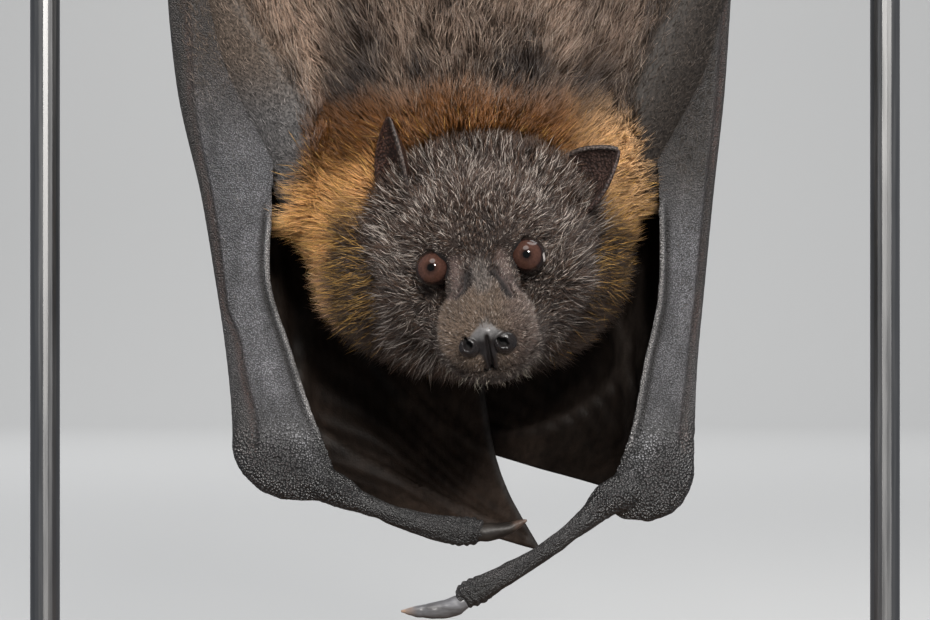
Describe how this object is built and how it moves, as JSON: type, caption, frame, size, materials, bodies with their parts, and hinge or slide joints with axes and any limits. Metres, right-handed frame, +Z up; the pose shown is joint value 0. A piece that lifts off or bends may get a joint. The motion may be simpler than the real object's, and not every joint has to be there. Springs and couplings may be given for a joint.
{
  "type": "fruit bat display model",
  "caption": "Life-size grey-headed flying fox hanging head down from a cut branch with folded wings, its head turned back to look out, on a plain display stand.",
  "frame": {"origin": "centre of the stand base's underside", "axes": "+Z up, -Y the way the bat's back and face point, +X the bat's left"},
  "size_m": [0.304, 0.196, 0.4519],
  "materials": {
    "coat_head": "short grizzled fur",
    "coat_mantle": "rust and golden fur",
    "coat_back": "long dark brown fur with grey-beige tips",
    "coat_leg": "short dark brown fur",
    "wing_arm": "grey, finely grained skin",
    "wing_membrane": "dark brown, thin and satin",
    "bare_skin": "dark pebbled skin with a dull shine",
    "ear_skin": "dark purplish pebbled skin",
    "eye": "wet, red-brown iris",
    "claw": "horn with a dull shine",
    "bark": "rough bark with sawn ends",
    "stand_wood": "dark stained, satin",
    "stand_steel": "brushed"
  },
  "bodies": {
    "root": {"ear_left": "ear_skin", "ear_right": "ear_skin", "eye_left": "eye", "eye_right": "eye", "finger_2_left": "wing_membrane", "finger_2_right": "wing_membrane", "finger_3_left": "wing_membrane", "finger_3_right": "wing_membrane", "finger_4_left": "wing_membrane", "finger_4_right": "wing_membrane", "finger_5_left": "wing_membrane", "finger_5_right": "wing_membrane", "foot_left": "bare_skin", "foot_right": "bare_skin", "forearm_left": "wing_arm", "forearm_right": "wing_arm", "hand_wing_left": "wing_membrane", "hand_wing_right": "wing_membrane", "head": "coat_head", "leg_left": "coat_leg", "leg_right": "coat_leg", "neck": "coat_mantle", "perch": "bark", "stand_base": "stand_wood", "stand_post_left": "stand_steel", "stand_post_right": "stand_steel", "thumb_claw_left": "claw", "thumb_claw_right": "claw", "thumb_left": "bare_skin", "thumb_right": "bare_skin", "toe_claw_left_1": "claw", "toe_claw_left_2": "claw", "toe_claw_left_3": "claw", "toe_claw_left_4": "claw", "toe_claw_left_5": "claw", "toe_claw_right_1": "claw", "toe_claw_right_2": "claw", "toe_claw_right_3": "claw", "toe_claw_right_4": "claw", "toe_claw_right_5": "claw", "trunk": "coat_back", "upper_arm_left": "coat_back", "upper_arm_right": "coat_back"}
  },
  "joints": []
}
